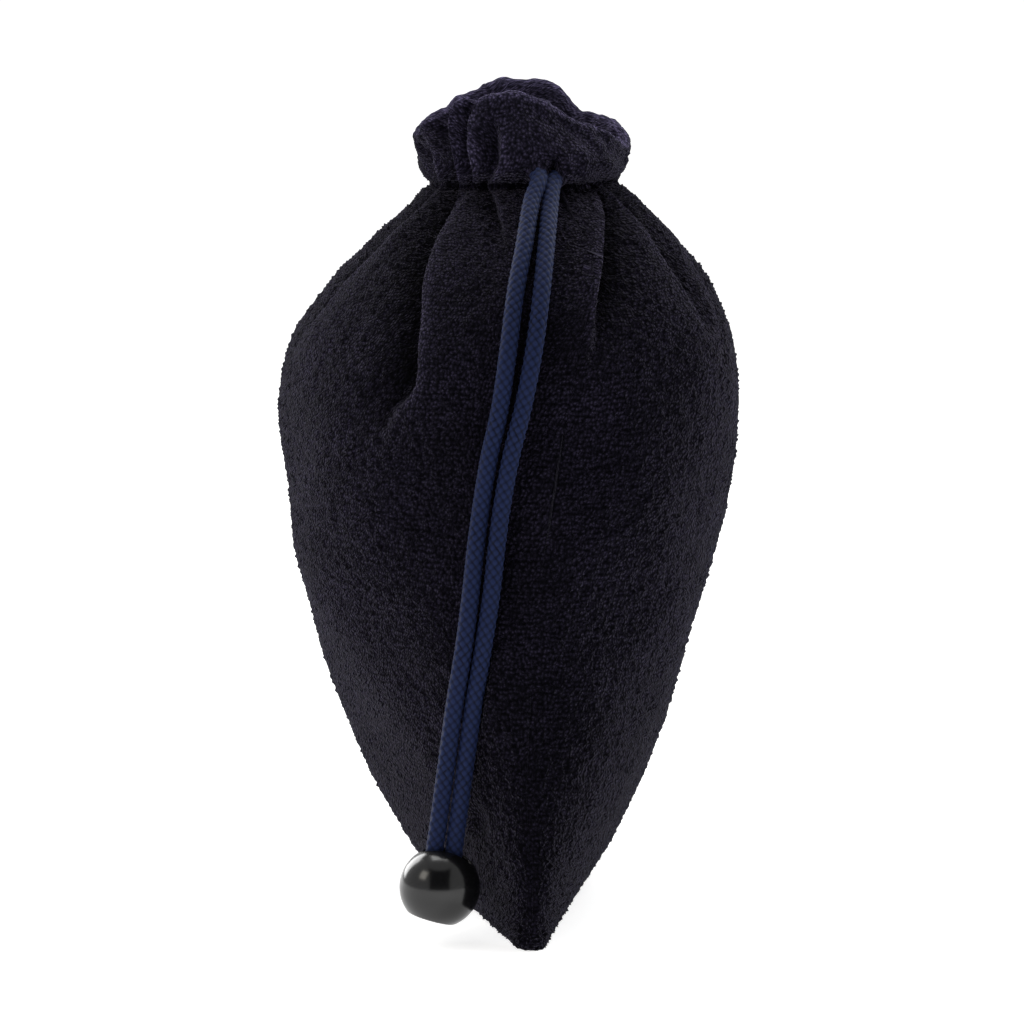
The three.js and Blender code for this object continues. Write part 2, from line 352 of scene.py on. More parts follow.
def makeBall():
    # rings of (distance from the axis, height), each a number or one for every side: up the oval hole,
    # over its rounded rim, down the ball, round the rim of the flat end and up the recess
    angle = np.linspace(0, 2 * np.pi, bead["sides"], endpoint=False)
    radius, flat = bead["radius"], bead["flat"]
    hole = holeOutline(angle)
    holeHeights = np.linspace(bead["recessTop"], bead["holeTop"], 6)
    rings = [(hole, height) for height in holeHeights]
    rim = bead["holeEdge"]
    start = np.arcsin((hole + rim) / radius)
    top = radius * np.cos(start)
    for share in np.linspace(0, np.pi / 2, 7)[:-1]:
        rings.append((hole + rim * (1 - np.cos(share)), top - rim * (1 - np.sin(share)) * 0.9))
    end = np.pi - np.arccos(flat / radius)
    edge = bead["edge"] / radius
    for share in np.linspace(0, 1, bead["rings"]):
        polar = start + (end - edge - start) * share
        rings.append((radius * np.sin(polar), radius * np.cos(polar)))
    flatRadius = radius * math.sin(end)
    corner = np.array([radius * math.sin(end - edge), radius * math.cos(end - edge)])
    landing = np.array([flatRadius - bead["edge"] * 0.7, -flat])
    middle = np.array([flatRadius, -flat])
    for share in np.linspace(0, 1, 8)[1:]:
        point = (1 - share) ** 2 * corner + 2 * share * (1 - share) * middle + share ** 2 * landing
        rings.append((point[0], point[1]))
    inner, lip = bead["recess"], bead["recessEdge"]
    for share in np.linspace(0, np.pi / 2, 5)[1:]:
        rings.append((inner + lip * (1 - math.sin(share)), -flat + lip * (1 - math.cos(share))))
    for height in np.linspace(-flat + 2 * lip, bead["recessTop"], 10):
        rings.append((inner, height))
    away = np.array([np.broadcast_to(ring[0], angle.shape) for ring in rings])
    height = np.array([np.broadcast_to(ring[1], angle.shape) for ring in rings])
    points = np.stack([away * np.cos(angle), away * np.sin(angle), height], axis=-1)
    faces = gridFaces(len(rings), len(angle), closedRows=True, closedColumns=True)
    return makePiece("ball_end", alongStrands(points.reshape(-1, 3), bead["tilt"]), [faces])


knotPiece = makeKnot()
ball = makeBall()
print("knot and ball made")


cloth = {
    "flatWidth": 0.168,         # one panel as cut and sewn, laid flat
    "flatHeight": 0.198,
    "columns": 208,
    "rowPitch": 0.00105,        # from one pile yarn to the next
    "innerSpacing": 0.0070,
    "innerRimSpacing": 0.0012,  # the same where the open rim shows it
    "neck": 0.1475,
    "innerNeck": 0.143,         # the inside above this height is the header's
    "seamTwist": math.radians(15),
    "shift": 0.0020,            # of the header towards the back panel, which starts at the next height
    "shiftFrom": 0.112,
    "bluntness": 0.14,          # of the points to which the foot is drawn out
    "lensFrom": 0.002,
    "lensTop": (0.055, 0.032),  # the foot is drawn out up to these heights, front and back
    "pinchTop": 0.105,          # and drawn in a little beside the seams up to this one
    "pinchShare": (0.70, 0.35),
    "cornerHalf": 0.0024,       # half thickness of the sewn corners at the bottom
    "cornerRound": 0.35,        # sine of the angle over which that thickness grows
    "cornerFade": (0.01, 0.06), # heights over which it goes, as for each fade below
    "seamDepth": 0.0004,        # how far the cloth turns in at the side seams
    "seamWidth": 0.0009,
    "seamStart": (0.005, 0.012),
    "seamEnd": (0.095, 0.115),
    "seamGap": 0.00003,         # between the two panels' edges
    "gapStart": (0.003, 0.008),
    "slack": 0.0007,            # height of the broad waves of the filled cloth
    "slackStart": (0.01, 0.04),
    "slackFade": 0.12,          # above here they grow fainter, by this share at the neck
    "slackLost": 0.6,
    "slackWaves": [(3, 60, 0.7, 1.0), (5, -95, 2.1, 0.7), (9, 140, 4.0, 0.5)],
    "innerDepth": 0.6,          # depth of the folds on the header's inside, as a share
}
fold = {
    "slopePower": 1.3,
    "crest": (2.6, 1.7),        # the swollen crest's distance from the valley and width, in steep widths
    "edge": (1.7, 1.2),         # the same for the crest's edge
    "swell": 0.26,              # how far a fold's crest stands out, as a share of its valley's depth
    "shared": 0.3,              # share of the shallower fold that is added where two meet
    "overhang": 0.0018,         # how far a crest leans out over its valley
    "leanDepth": 5,             # millimetres of depth that give the whole overhang
}
pile = {
    "rowRelief": 0.00007,       # how far the pile yarns stand out of the ground between them
    "tuftRelief": 0.00026,
    "tuftLow": 0.35,            # height of the tufts between two yarns, as a share
    "tuftLimits": (-1.6, 2.2),
    "tuftStep": 0.0002,         # along a yarn, from one random number to the next
    "tuftBlur": 1.4,
    "tuftGrid": (260, 1200),
    "tuftSpan": 0.0009,         # longest grid cell that still carries the full relief
    "uneven": 0.00012,
    "drift": 0.00022,           # how far the yarns wander up and down
    "driftStart": (0.004, 0.012),
    "seamFade": 0.0006,         # the relief grows from nothing over this distance from every seam
    "crestFlat": 0.65,          # how much flatter it is on crests, and at the rim
    "rimFlat": 0.55,
    "rimLoose": 0.9,            # share of loose tufts, which run in no rows, at the rim
    "rimStart": (0.147, 0.151),
    "fullDepth": 0.005,         # depth of a fold that shows its whole light and dark
    "crestHighlight": 1.3,            # painted highlight on a fold's edge, as a share of the pile's tone
    "crestPower": 1.5,
    "valleyShade": 0.70,          # painted shade in a valley
    "lowDarkening": 0.35,             # and how much darker at the narrow lower end
    "lowFade": (0.015, 0.075),
    "headerLight": 0.9,           # painted light on the header and inside it, and a painted highlight on its rim
    "innerLight": 1.9,
    "rimHighlight": 5.0,
    "headerFull": 0.150,        # height where the first is full, and those between which the last comes in
    "rimFade": (0.1648, 0.1664),
}

# half width, half depth and height in millimetres, from the bottom seam out and up to the rim
outside = [
    (77.0, 0.0, 0.9), (77.2, 3.5, 0.15), (77.5, 9.0, 0.0), (78.2, 14.0, 0.4), (79.0, 17.4, 3.2),
    (79.0, 22.4, 10.5), (76.5, 27.8, 21.0), (73.0, 34.2, 38.0), (68.5, 40.2, 58.0), (63.0, 44.9, 79.0),
    (58.5, 47.5, 99.0), (56.0, 46.0, 113.0), (50.0, 39.8, 125.0), (40.5, 31.7, 135.0),
    (29.5, 24.0, 142.6), (24.4, 21.7, 145.4), (19.4, 20.2, 146.9), (21.8, 20.5, 148.4), (24.6, 21.0, 151.0),
    (24.5, 21.6, 155.0), (22.6, 22.2, 159.0), (20.7, 22.9, 162.6), (19.8, 23.1, 165.2), (19.2, 22.8, 166.4),
]
# the same from the rim down the inside to the bottom seam
inside = [
    (18.5, 21.6, 166.9), (17.6, 20.7, 166.2), (16.9, 19.9, 164.5), (15.0, 17.4, 160.0), (11.4, 12.0, 153.0),
    (8.9, 7.9, 147.5), (22.0, 17.0, 141.5), (37.0, 28.0, 135.0), (47.5, 37.0, 125.0), (53.8, 43.4, 113.0),
    (56.4, 45.3, 99.0), (60.8, 42.7, 79.0), (66.3, 38.0, 58.0), (70.8, 32.0, 38.0),
    (74.3, 25.7, 21.0), (76.6, 19.4, 10.5), (76.4, 13.0, 4.2), (75.4, 6.0, 2.6), (75.0, 0.0, 2.8),
]

# how much of the header's full height the rim reaches, by degrees round from +X towards the back panel
rimShape = [
    (-180, 1.09), (-168, 1.05), (-157, 0.95), (-128, 0.72), (-100, 0.54), (-84, 0.52), (-60, 0.70),
    (-45, 0.88), (-28, 0.92), (-6, 1.00), (5, 0.95), (20, 0.78), (45, 0.58), (70, 0.38), (83, 0.35),
    (95, 0.54), (108, 0.62), (116, 0.69), (140, 0.73), (150, 1.02), (163, 1.07), (180, 1.09),
]

# sideways lean of the sections towards the back panel, by height, in millimetres
sway = [(0, 0), (12, 0), (21, -1.0), (31, -1.7), (51, -1.7), (71, -1.7), (82, -0.6), (92, 0.5), (107, 1.2),
        (122, 1.6), (132, 1.5), (143, 1.0), (149, 0.3), (167, 0)]

# deep folds that show beside the cord: the side whose crest leans over the valley, how wide the valley is
# on that steep side and on the sloping one, and its path as (height, degrees round from the cord's seam,
# depth), all in millimetres but the turn
folds = [
    {"over": 1, "steep": 2.2, "slope": 7.5, "path": [
        (98, -48, 0), (104, -45, 2.4), (109, -41, 5.0), (118, -43.5, 7.6), (124, -47, 9.0),
        (130, -52, 10.0), (136, -56, 10.0), (142, -59, 9.0), (147.5, -63, 6.4), (153, -68, 4.6),
        (160, -67, 4.0), (167, -62, 2.4)]},
    {"over": 1, "steep": 1.6, "slope": 5.0, "path": [
        (108, -97, 0), (115, -92, 1.8), (122, -87, 4.0), (129, -87, 5.4), (136, -87, 5.8), (141, -88, 5.4),
        (147.5, -90, 4.0), (155, -90, 3.4), (167, -90, 1.8)]},
    {"over": 1, "steep": 1.3, "slope": 3.2, "path": [
        (135, -28, 0), (139, -30.5, 2.2), (142, -34, 3.6), (147.5, -37, 4.6), (153, -35, 4.4),
        (158, -33.5, 3.0), (162, -33, 0.8), (164, -33, 0)]},
    {"over": 1, "steep": 1.2, "slope": 2.6, "path": [
        (142, -50, 0), (147.5, -47, 3.4), (153, -50, 4.6), (160, -48, 4.2), (167, -43, 2.0)]},
    {"over": -1, "steep": 1.8, "slope": 5.6, "path": [
        (112, 4.5, 0), (120, 5.5, 2.4), (125, 6, 5.0), (131, 8, 7.8), (137, 12, 9.4), (142, 20, 8.8),
        (146, 30, 5.2), (149, 36, 1.0), (152, 40, 0)]},
    {"over": -1, "steep": 1.7, "slope": 4.4, "path": [
        (115, 47, 0), (121, 44, 2.6), (127, 41.5, 5.2), (130, 40, 6.4), (134.5, 39, 7.2), (140, 41.5, 7.2),
        (145.5, 48, 5.4), (149, 56, 2.4), (154, 60, 1.2), (160, 60, 0.8), (167, 60, 0)]},
    {"over": -1, "steep": 1.5, "slope": 3.8, "path": [
        (109, 50, 0), (114, 51, 2.2), (120, 55.5, 4.2), (125.5, 58.5, 5.2), (131, 60, 5.6), (137, 66, 5.6),
        (142, 72, 4.6), (147.5, 80, 3.2), (155, 84, 2.2), (167, 85, 0.8)]},
]
# plainer folds round the rest: degrees at the rim, neck and lower end, that end's height, depth, side
plainFolds = [
    (-108, -104, -118, 104, 3.8, 1), (-126, -124, -131, 121, 2.6, 1), (-145, -143, -152, 110, 3.6, 1),
    (-163, -164, -166, 126, 2.6, -1), (170, 174, 178, 106, 3.4, -1), (152, 156, 163, 118, 2.8, -1),
    (134, 138, 142, 108, 3.6, -1), (116, 119, 126, 100, 3.8, -1), (100, 101, 104, 118, 2.6, -1),
]
for rim, neck, end, low, depth, over in plainFolds:
    folds.append({"over": over, "steep": 1.1, "slope": 4.0, "path": [
        (low - 6, end, 0), (low, end, 0.3 * depth), (low + 14, 0.6 * end + 0.4 * neck, 0.8 * depth),
        (138, 0.2 * end + 0.8 * neck, depth), (147.5, neck, 0.8 * depth),
        (156, rim, 0.6 * depth), (167, rim, 0.2 * depth)]})


def rimReach(angle):
    # rimShape at each angle, read a few degrees either side as well so that its corners are rounded
    turn = np.degrees(angle + cloth["seamTwist"])
    at, share = np.array(rimShape).T
    return sum(np.interp((turn + step + 180) % 360 - 180, at, share) for step in (-4, 0, 4)) / 3


def bell(distance, width):
    # exp(-(distance / width)^2)
    return np.exp(-(distance / width) ** 2)


def foldShift(angle, height):
    # for every point, how far the cloth is drawn in, how far it leans sideways and how near it is to a
    # crest's edge, over all the folds: a valley is depth exp(-(distance / steep)^2) on the overhanging
    # side and depth exp(-(distance / slope)^1.3) on the other
    z = height / mm
    radius = np.interp(z, [0, 90, 125, 137, cloth["neck"] / mm, 167], [60, 52, 45, 33, 21, 21])
    drawn = np.zeros(np.broadcast(angle, height).shape)
    lean, edge = np.zeros_like(drawn), np.zeros_like(drawn)
    for valley in folds:
        steep, slope = valley["steep"], valley["slope"]
        at, turns, depths = smoothPath(valley["path"], 0.5).T
        turn = np.interp(z, at, turns)
        depth = np.interp(z, at, depths, left=0, right=0)
        away = ((np.degrees(angle) - turn + 180) % 360 - 180) * valley["over"]
        distance = np.radians(away) * radius
        sloping = np.exp(-(np.maximum(-distance, 0) / slope) ** fold["slopePower"])
        shape = depth * np.where(distance > 0, bell(np.maximum(distance, 0), steep), sloping)
        crest = depth * bell(distance - fold["crest"][0] * steep, fold["crest"][1] * steep)
        drawn = np.maximum(drawn, shape) + fold["shared"] * np.minimum(drawn, shape) - fold["swell"] * crest
        lean -= valley["over"] * crest / fold["leanDepth"]
        edge = np.maximum(edge, depth * bell(distance - fold["edge"][0] * steep, fold["edge"][1] * steep))
    return drawn * mm, lean * fold["overhang"], edge * mm


def section(angle, width, depth, height):
    # an ellipse above; towards the foot its ends are drawn out, first as |sin|^(1 + pinch) and at the
    # floor as 1 - |cos|, with a sewn corner of even thickness; the front, where the strands and the ball
    # lie, is drawn out more than the back
    sine, cosine = np.abs(np.sin(angle)), np.cos(angle)
    lensTop = np.where(angle > 0, cloth["lensTop"][1], cloth["lensTop"][0])
    pinchShare = np.where(angle > 0, cloth["pinchShare"][1], cloth["pinchShare"][0])
    pinch = pinchShare * (1 - smoothStep(height, 0, cloth["pinchTop"]))
    bluntness = cloth["bluntness"]
    full = math.hypot(1, bluntness)
    lens = (full - np.sqrt(cosine ** 2 + bluntness ** 2)) / (full - bluntness)
    share = 1 - smoothStep(height, cloth["lensFrom"], lensTop)
    across = sine ** (1 + pinch) * (1 - share) + lens * share
    thickness = cloth["cornerHalf"] * (1 - smoothStep(height, *cloth["cornerFade"]))
    corner = np.minimum(thickness, depth * 0.9)
    rounding = np.sin(np.pi / 2 * np.clip(sine / cloth["cornerRound"], 0, 1))
    return width * cosine, np.sign(np.sin(angle)) * (corner * rounding + (depth - corner) * across)


def paintedLightShare(height, drawn, crest, inHeader):
    # painted light and shade in the pile's colour: painted highlights on crests and the rim, painted light
    # on the header and inside it, painted shade in the valleys, and darker towards the narrow lower end
    header = smoothStep(height, cloth["neck"], pile["headerFull"])
    napAndPaintedLight = 1 + pile["crestHighlight"] * (1 + header) * crest ** pile["crestPower"]
    napAndPaintedLight = napAndPaintedLight - pile["valleyShade"] * np.clip(drawn / pile["fullDepth"], 0, 1)
    napAndPaintedLight = napAndPaintedLight - pile["lowDarkening"] * (1 - smoothStep(height, *pile["lowFade"]))
    napAndPaintedLight = napAndPaintedLight + pile["headerLight"] * header
    return napAndPaintedLight + pile["rimHighlight"] * smoothStep(height, *pile["rimFade"]) + pile["innerLight"] * inHeader


def clothPoint(angle, width, depth, height, inner):
    # the section at each height, scaled by 1 - (fold - slack) / radius and its crests leant aside; then
    # the rim cut to its heights, and the whole twisted and swayed; with the pile's painted light and shade,
    # and its crests
    x, y = section(angle, width, depth, height)
    radius = np.sqrt(x ** 2 + y ** 2) + 1e-9
    drawn, lean, edge = foldShift(angle, height)
    inHeader = inner & (height > cloth["innerNeck"])
    crest = np.clip(edge / pile["fullDepth"], 0, 1)
    # painted highlights on crests and rim, painted light on the header, painted shade in valleys, for the
    # pile's colour
    napAndPaintedLight = paintedLightShare(height, drawn, crest, inHeader)
    drawn = drawn * np.where(inHeader, cloth["innerDepth"], 1.0)
    # below the header the inside is plainer: its crests stay back from the outside's
    plain = inner & ~inHeader
    drawn = np.where(plain, np.maximum(drawn, 0), drawn)
    lean = np.where(plain, 0, lean)
    # slack waves, so many round the pouch and so steep, from their start, with a share of the height
    waves = sum(share * np.sin(around * angle + height * climb + start)
                for around, climb, start, share in cloth["slackWaves"])
    slack = cloth["slack"] * smoothStep(height, *cloth["slackStart"]) * waves
    slack = slack * (1 - cloth["slackLost"] * smoothStep(height, cloth["slackFade"], cloth["neck"]))
    scale = 1 - (drawn - slack) / radius
    aside = lean / radius
    x, y = x * scale - y * aside, y * scale + x * aside
    over = np.maximum(height - cloth["neck"], 0)
    height = np.where(over > 0, cloth["neck"] + over * rimReach(angle), height)
    twist = cloth["seamTwist"] * (height / cloth["neck"]) ** 2
    at, sideways = np.array(sway).T
    shift = cloth["shift"] * smoothStep(height, cloth["shiftFrom"], cloth["neck"])
    shift = shift + np.interp(height, at * mm, sideways * mm)
    turnedX = x * np.cos(twist) - y * np.sin(twist)
    turnedY = x * np.sin(twist) + y * np.cos(twist) + shift
    return np.stack([turnedX, turnedY, height], -1), napAndPaintedLight, crest


def gridNormals(points):
    # across the columns times up the rows
    return unit(np.cross(np.gradient(points, axis=1), np.gradient(points, axis=0)))


def giveWay(points, outward, isInner, path, radius, batch=64):
    # cloth nearer to a path than reach, its radius and a gap, moves along its own normal until it is half a
    # chord, sqrt(reach^2 - aside^2), from it: inwards under what lies on it, and outwards in the header,
    # where the strands have dived below it
    low, high = path.min(axis=0) - 1.5 * radius, path.max(axis=0) + 1.5 * radius
    close = np.all((points > low) & (points < high), axis=-1)
    chosen, facing = points[close], outward[close]
    innerChosen = np.broadcast_to(isInner, close.shape)[close]
    nearest, above = np.full(len(chosen), 1.0), np.zeros(len(chosen))
    for start in range(0, len(path), batch):
        apart = path[None, start:start + batch] - chosen[:, None]
        gaps = np.linalg.norm(apart, axis=2)
        best = gaps.argmin(axis=1)
        gap = gaps[np.arange(len(chosen)), best]
        closer = gap < nearest
        nearest[closer] = gap[closer]
        above[closer] = (apart[np.arange(len(chosen)), best] * facing).sum(axis=1)[closer]
    reach = radius + np.where(innerChosen, cord["innerGap"], cord["gap"])
    halfChord = np.sqrt(np.maximum(reach ** 2 - nearest ** 2 + above ** 2, 0))
    dived = (above < cord["dive"]) & (chosen[:, 2] > cloth["neck"]) & ~innerChosen
    inwards = np.clip(halfChord - above, 0, cord["mostIn"])
    outwards = np.clip(halfChord + above, 0, cord["mostOut"])
    push = np.where(halfChord > 0, np.where(dived, outwards, -inwards), 0)
    points[close] += facing * push[:, None]
    return points


slit = {
    "place": (24.0, 8.0, 151.6),   # millimetres, where the cord comes out of the header
    "halfWidth": 0.0012,
    "halfHeight": 0.0018,
    "depth": 0.0034,
    "near": 0.018,                 # only cloth beyond this x is pushed in
}


def cutSlit(points):
    # a short pucker pushed in towards the middle, depth exp(-(across / halfWidth)^2 - (up / halfHeight)^2)
    across, up = points[..., 1] - slit["place"][1] * mm, points[..., 2] - slit["place"][2] * mm
    share = np.exp(-(across / slit["halfWidth"]) ** 2 - (up / slit["halfHeight"]) ** 2)
    share = np.where(points[..., 0] > slit["near"], share, 0)
    points[..., 0] -= slit["depth"] * share
    return points


def pileRelief(along, climb, seed):
    # the yarns run round the pouch, each a round ridge 0.5 - 0.5 cos(2 pi climb / pitch); random tufts half
    # a millimetre long lift the ridge
    pitch, low = cloth["rowPitch"], pile["tuftLow"]
    crest = 0.5 - 0.5 * np.cos(2 * np.pi * climb / pitch)
    yarns, steps = pile["tuftGrid"]
    noise = smoothNoise((yarns, steps), 0, pile["tuftBlur"], seed)
    yarn = np.clip((climb / pitch).astype(int), 0, yarns - 1)
    place = np.clip(along / pile["tuftStep"], 0, steps - 2)
    cell = place.astype(int)
    tuft = noise[yarn, cell] * (1 - place + cell) + noise[yarn, cell + 1] * (place - cell)
    lift = pile["tuftRelief"] * (low + (1 - low) * crest) * np.clip(tuft, *pile["tuftLimits"])
    return pile["rowRelief"] * (2 * crest - 1) + lift


def panelRows():
    # the outside's rows a set spacing apart, then the inside's, closer where the open rim shows it
    outer = smoothPath(outside, cloth["rowPitch"] / 2 / mm) * mm
    inner = smoothPath(inside, cloth["innerRimSpacing"] / mm) * mm
    coarse = int(cloth["innerSpacing"] / cloth["innerRimSpacing"])
    kept = (inner[:, 2] > cloth["neck"]) | (np.arange(len(inner)) % coarse == 0)
    kept[-1] = True
    return outer, inner[kept]


def standingPile(rowHeight, fromNear, fromEdge, climb, isInner, crest, seed):
    # how far each point stands out: rows of tufts outside, looser tufts inside and at the rim
    shape = fromNear.shape
    relief = pileRelief(fromNear, climb, seed)
    inRim = smoothStep(rowHeight, *pile["rimStart"])
    loose = pile["tuftRelief"] * smoothNoise(shape, 3, 3, seed + 3)
    relief = relief * (1 - pile["rimFlat"] * inRim) + pile["rimLoose"] * loose * inRim
    relief = np.where(isInner, loose, relief) + pile["uneven"] * smoothNoise(shape, 8, 8, seed + 4)
    # flatter at the seams, on crests and wherever the grid is too stretched to carry a tuft
    relief = relief * (1 - bell(fromEdge, pile["seamFade"])) * (1 - pile["crestFlat"] * crest)
    stretch = np.gradient(fromNear, axis=1)
    relief = relief * np.clip(pile["tuftSpan"] / stretch, 0.1, 1)
    fromFoot = np.minimum(climb, climb[-1] - climb)
    return relief * (1 - bell(fromFoot, pile["seamFade"]))


def closingFaces(outerCount, innerCount, columns):
    # strips that close the wall: along the bottom seam, and up both side seams, where each outside row
    # meets the inside row that is the same share of the way down
    bottom = np.arange(columns - 1)
    last = (outerCount + innerCount - 1) * columns
    groups = [np.stack([bottom, last + bottom, last + bottom + 1, bottom + 1], axis=1)]
    down = np.linspace(0, 1, outerCount)
    match = np.interp(down, np.linspace(0, 1, innerCount), np.arange(innerCount)[::-1])
    match = np.round(match).astype(int) + outerCount
    match[-1] = outerCount
    low, high = np.arange(outerCount - 1), np.arange(1, outerCount)
    for column, flip in ((0, False), (columns - 1, True)):
        a, b = low * columns + column, high * columns + column
        c, d = match[high] * columns + column, match[low] * columns + column
        quad = np.stack([a, b, c, d], axis=1)
        single = c == d
        for group in (quad[single][:, :3], quad[~single]):
            groups.append(group[:, ::-1] if flip else group)
    return groups


def creaseSideSeams(piece, columns):
    # edges up the first and last column are sharp, so that the shading of the outside stops at them
    pairs = np.empty(len(piece.data.edges) * 2, dtype=np.int32)
    piece.data.edges.foreach_get("vertices", pairs)
    column = pairs.reshape(-1, 2) % columns
    creased = (column[:, 0] == column[:, 1]) & ((column[:, 0] == 0) | (column[:, 0] == columns - 1))
    sharp = piece.data.attributes.new("sharp_edge", "BOOLEAN", "EDGE")
    sharp.data.foreach_set("value", creased)


def panelPiece(name, side, seed):
    # rows up the outside and down the inside, times columns from the cord's side seam to the far one;
    # every point is clothPoint's, plus the pile's height along its normal
    outer, inner = panelRows()
    rows = np.vstack([outer, inner])
    rowHeight = rows[:, 2:3]
    isInner = (np.arange(len(rows)) >= len(outer))[:, None]
    columns = cloth["columns"]
    angle = np.linspace(0, np.pi, columns)[None, :] * side
    points, napAndPaintedLight, crest = clothPoint(angle, rows[:, :1], rows[:, 1:2], rowHeight, isInner)
    normals = gridNormals(points) * side
    # the cloth's own measure: along each row from the cord's seam, and from the bottom seam up
    across = np.linalg.norm(np.diff(points, axis=1), axis=2)
    fromNear = np.concatenate([np.zeros((len(rows), 1)), np.cumsum(across, axis=1)], axis=1)
    climb = np.broadcast_to(lengthsAlong(rows)[:, None], fromNear.shape)
    # cloth turns in along the side seams
    fromEdge = np.minimum(fromNear, fromNear[:, -1:] - fromNear)
    rolled = cloth["seamDepth"] * bell(fromEdge, cloth["seamWidth"])
    rolled = rolled * smoothStep(rowHeight, *cloth["seamStart"])
    rolled = rolled * (1 - smoothStep(rowHeight, *cloth["seamEnd"]))
    inward = unit(points * [-1, -1, 0] + 1e-9)
    points = points + inward * np.where(isInner, 0, rolled)[..., None]
    points[..., 1] += side * cloth["seamGap"] * smoothStep(rowHeight, *cloth["gapStart"])
    # yarns wander a little up and down, and stand out of the surface
    drift = smoothNoise(napAndPaintedLight.shape, 30, 26, seed + 1)
    drift = drift + 0.5 * smoothNoise(napAndPaintedLight.shape, 9, 9, seed + 2)
    points[..., 2] += pile["drift"] * np.clip(drift, -2, 2) * smoothStep(rowHeight, *pile["driftStart"])
    relief = standingPile(rowHeight, fromNear, fromEdge, climb, isInner, crest, seed)
    points = points + normals * relief[..., None]
    points[..., 2] = np.maximum(points[..., 2], np.where(isInner, 0.0004, 0.0))
    # room for the strands, and for the ball wherever it slides
    outward = np.where(isInner[..., None], -normals, normals)
    points = giveWay(points, outward, isInner, cordPath[::4], cord["diameter"] / 2)
    ballPath = bead["centre"] + np.linspace(0, bead["travel"], 12)[:, None] * bead["axis"]
    points = giveWay(points, outward, isInner, ballPath, bead["radius"])
    points = cutSlit(points)
    uv = np.stack([fromNear * side / mm, climb / mm], axis=-1).reshape(-1, 2)
    groups = [gridFaces(len(rows), columns), *closingFaces(len(outer), len(inner), columns)]
    if side > 0:
        groups = [group[:, ::-1] for group in groups]
    piece = makePiece(name, points.reshape(-1, 3), groups, uv)
    creaseSideSeams(piece, columns)
    # painted light and shade, which the chenille material multiplies into its colour
    addValues(piece, "napAndPaintedLight", napAndPaintedLight)
    return piece


frontCloth = panelPiece("front_cloth", -1, 11)
backCloth = panelPiece("back_cloth", 1, 29)
print("cloth shaped")


chenille = {
    "dark": (0.0019, 0.0017, 0.0034, 1),
    "light": (0.0340, 0.0290, 0.0560, 1),
    "rowPitch": 1.05,       # millimetres between the pile yarns
    "tuftWidth": 0.65,
    "tuftsPerRow": 1.35,
    "tuftTilt": math.radians(8),
    "wander": 0.9,          # millimetres by which the tufts stray from their rows
    "tuftFall": -1.15,      # height lost for each cell's width away from its middle
    "tuftChance": (0.6, 0.4),   # random part and sure part of a tuft's height
    "rowHeight": 0.14,
    "fibreHeight": 0.35,
    "tipGain": 0.72,        # how the height becomes a tone, with the power below
    "tipPower": 2.6,
    "patchTone": (1.6, 0.2),
    "bump": 0.0007,
    "sheen": 0.15,
    "sheenRoughness": 0.10,
    "sheenTint": (0.72, 0.68, 0.95, 1),
}
braid = {
    "dark": (0.0004, 0.0008, 0.0040, 1),
    "light": (0.0085, 0.0165, 0.0620, 1),
    "fibreTone": 0.35,      # how much the fibres add to the stitch's own tone
    "sheen": 0.01,
    "sheenRoughness": 0.4,
}
gloss = {
    "colour": (0.004, 0.004, 0.0045, 1),
    "roughness": (0.16, 0.22),
    "hazeScale": 900.0,
}


def newMaterial(name):
    # a material with its node tree and its shader
    material = bpy.data.materials.new(name)
    material.use_nodes = True
    nodes, links = material.node_tree.nodes, material.node_tree.links
    return material, nodes, links, nodes["Principled BSDF"]


def setInputs(node, values):
    # numbers and colours by the names of their sockets
    for name, value in values.items():
        node.inputs[name].default_value = value


def mathNode(nodes, links, operation, *values):
    # a Math node whose inputs are the given numbers or sockets
    node = nodes.new("ShaderNodeMath")
    node.operation = operation
    for socket, value in zip(node.inputs, values):
        if isinstance(value, (int, float)):
            socket.default_value = value
        else:
            links.new(value, socket)
    return node.outputs["Value"]


def noiseNode(nodes, links, place, scale, detail=3):
    # a Noise Texture on the given coordinates
    node = nodes.new("ShaderNodeTexNoise")
    setInputs(node, {"Scale": scale, "Detail": detail})
    links.new(place, node.inputs["Vector"])
    return node


def rampNode(nodes, links, tone, low, dark, high, light):
    # dark below one tone, light above the other
    node = nodes.new("ShaderNodeValToRGB")
    for element, position, colour in zip(node.color_ramp.elements, (low, high), (dark, light)):
        element.position = position
        element.color = colour
    links.new(tone, node.inputs["Fac"])
    return node.outputs["Color"]


def bumpSurface(nodes, links, shader, height, strength, distance):
    # the height as a Bump under the shader
    bump = nodes.new("ShaderNodeBump")
    setInputs(bump, {"Strength": strength, "Distance": distance})
    links.new(height, bump.inputs["Height"])
    links.new(bump.outputs["Normal"], shader.inputs["Normal"])


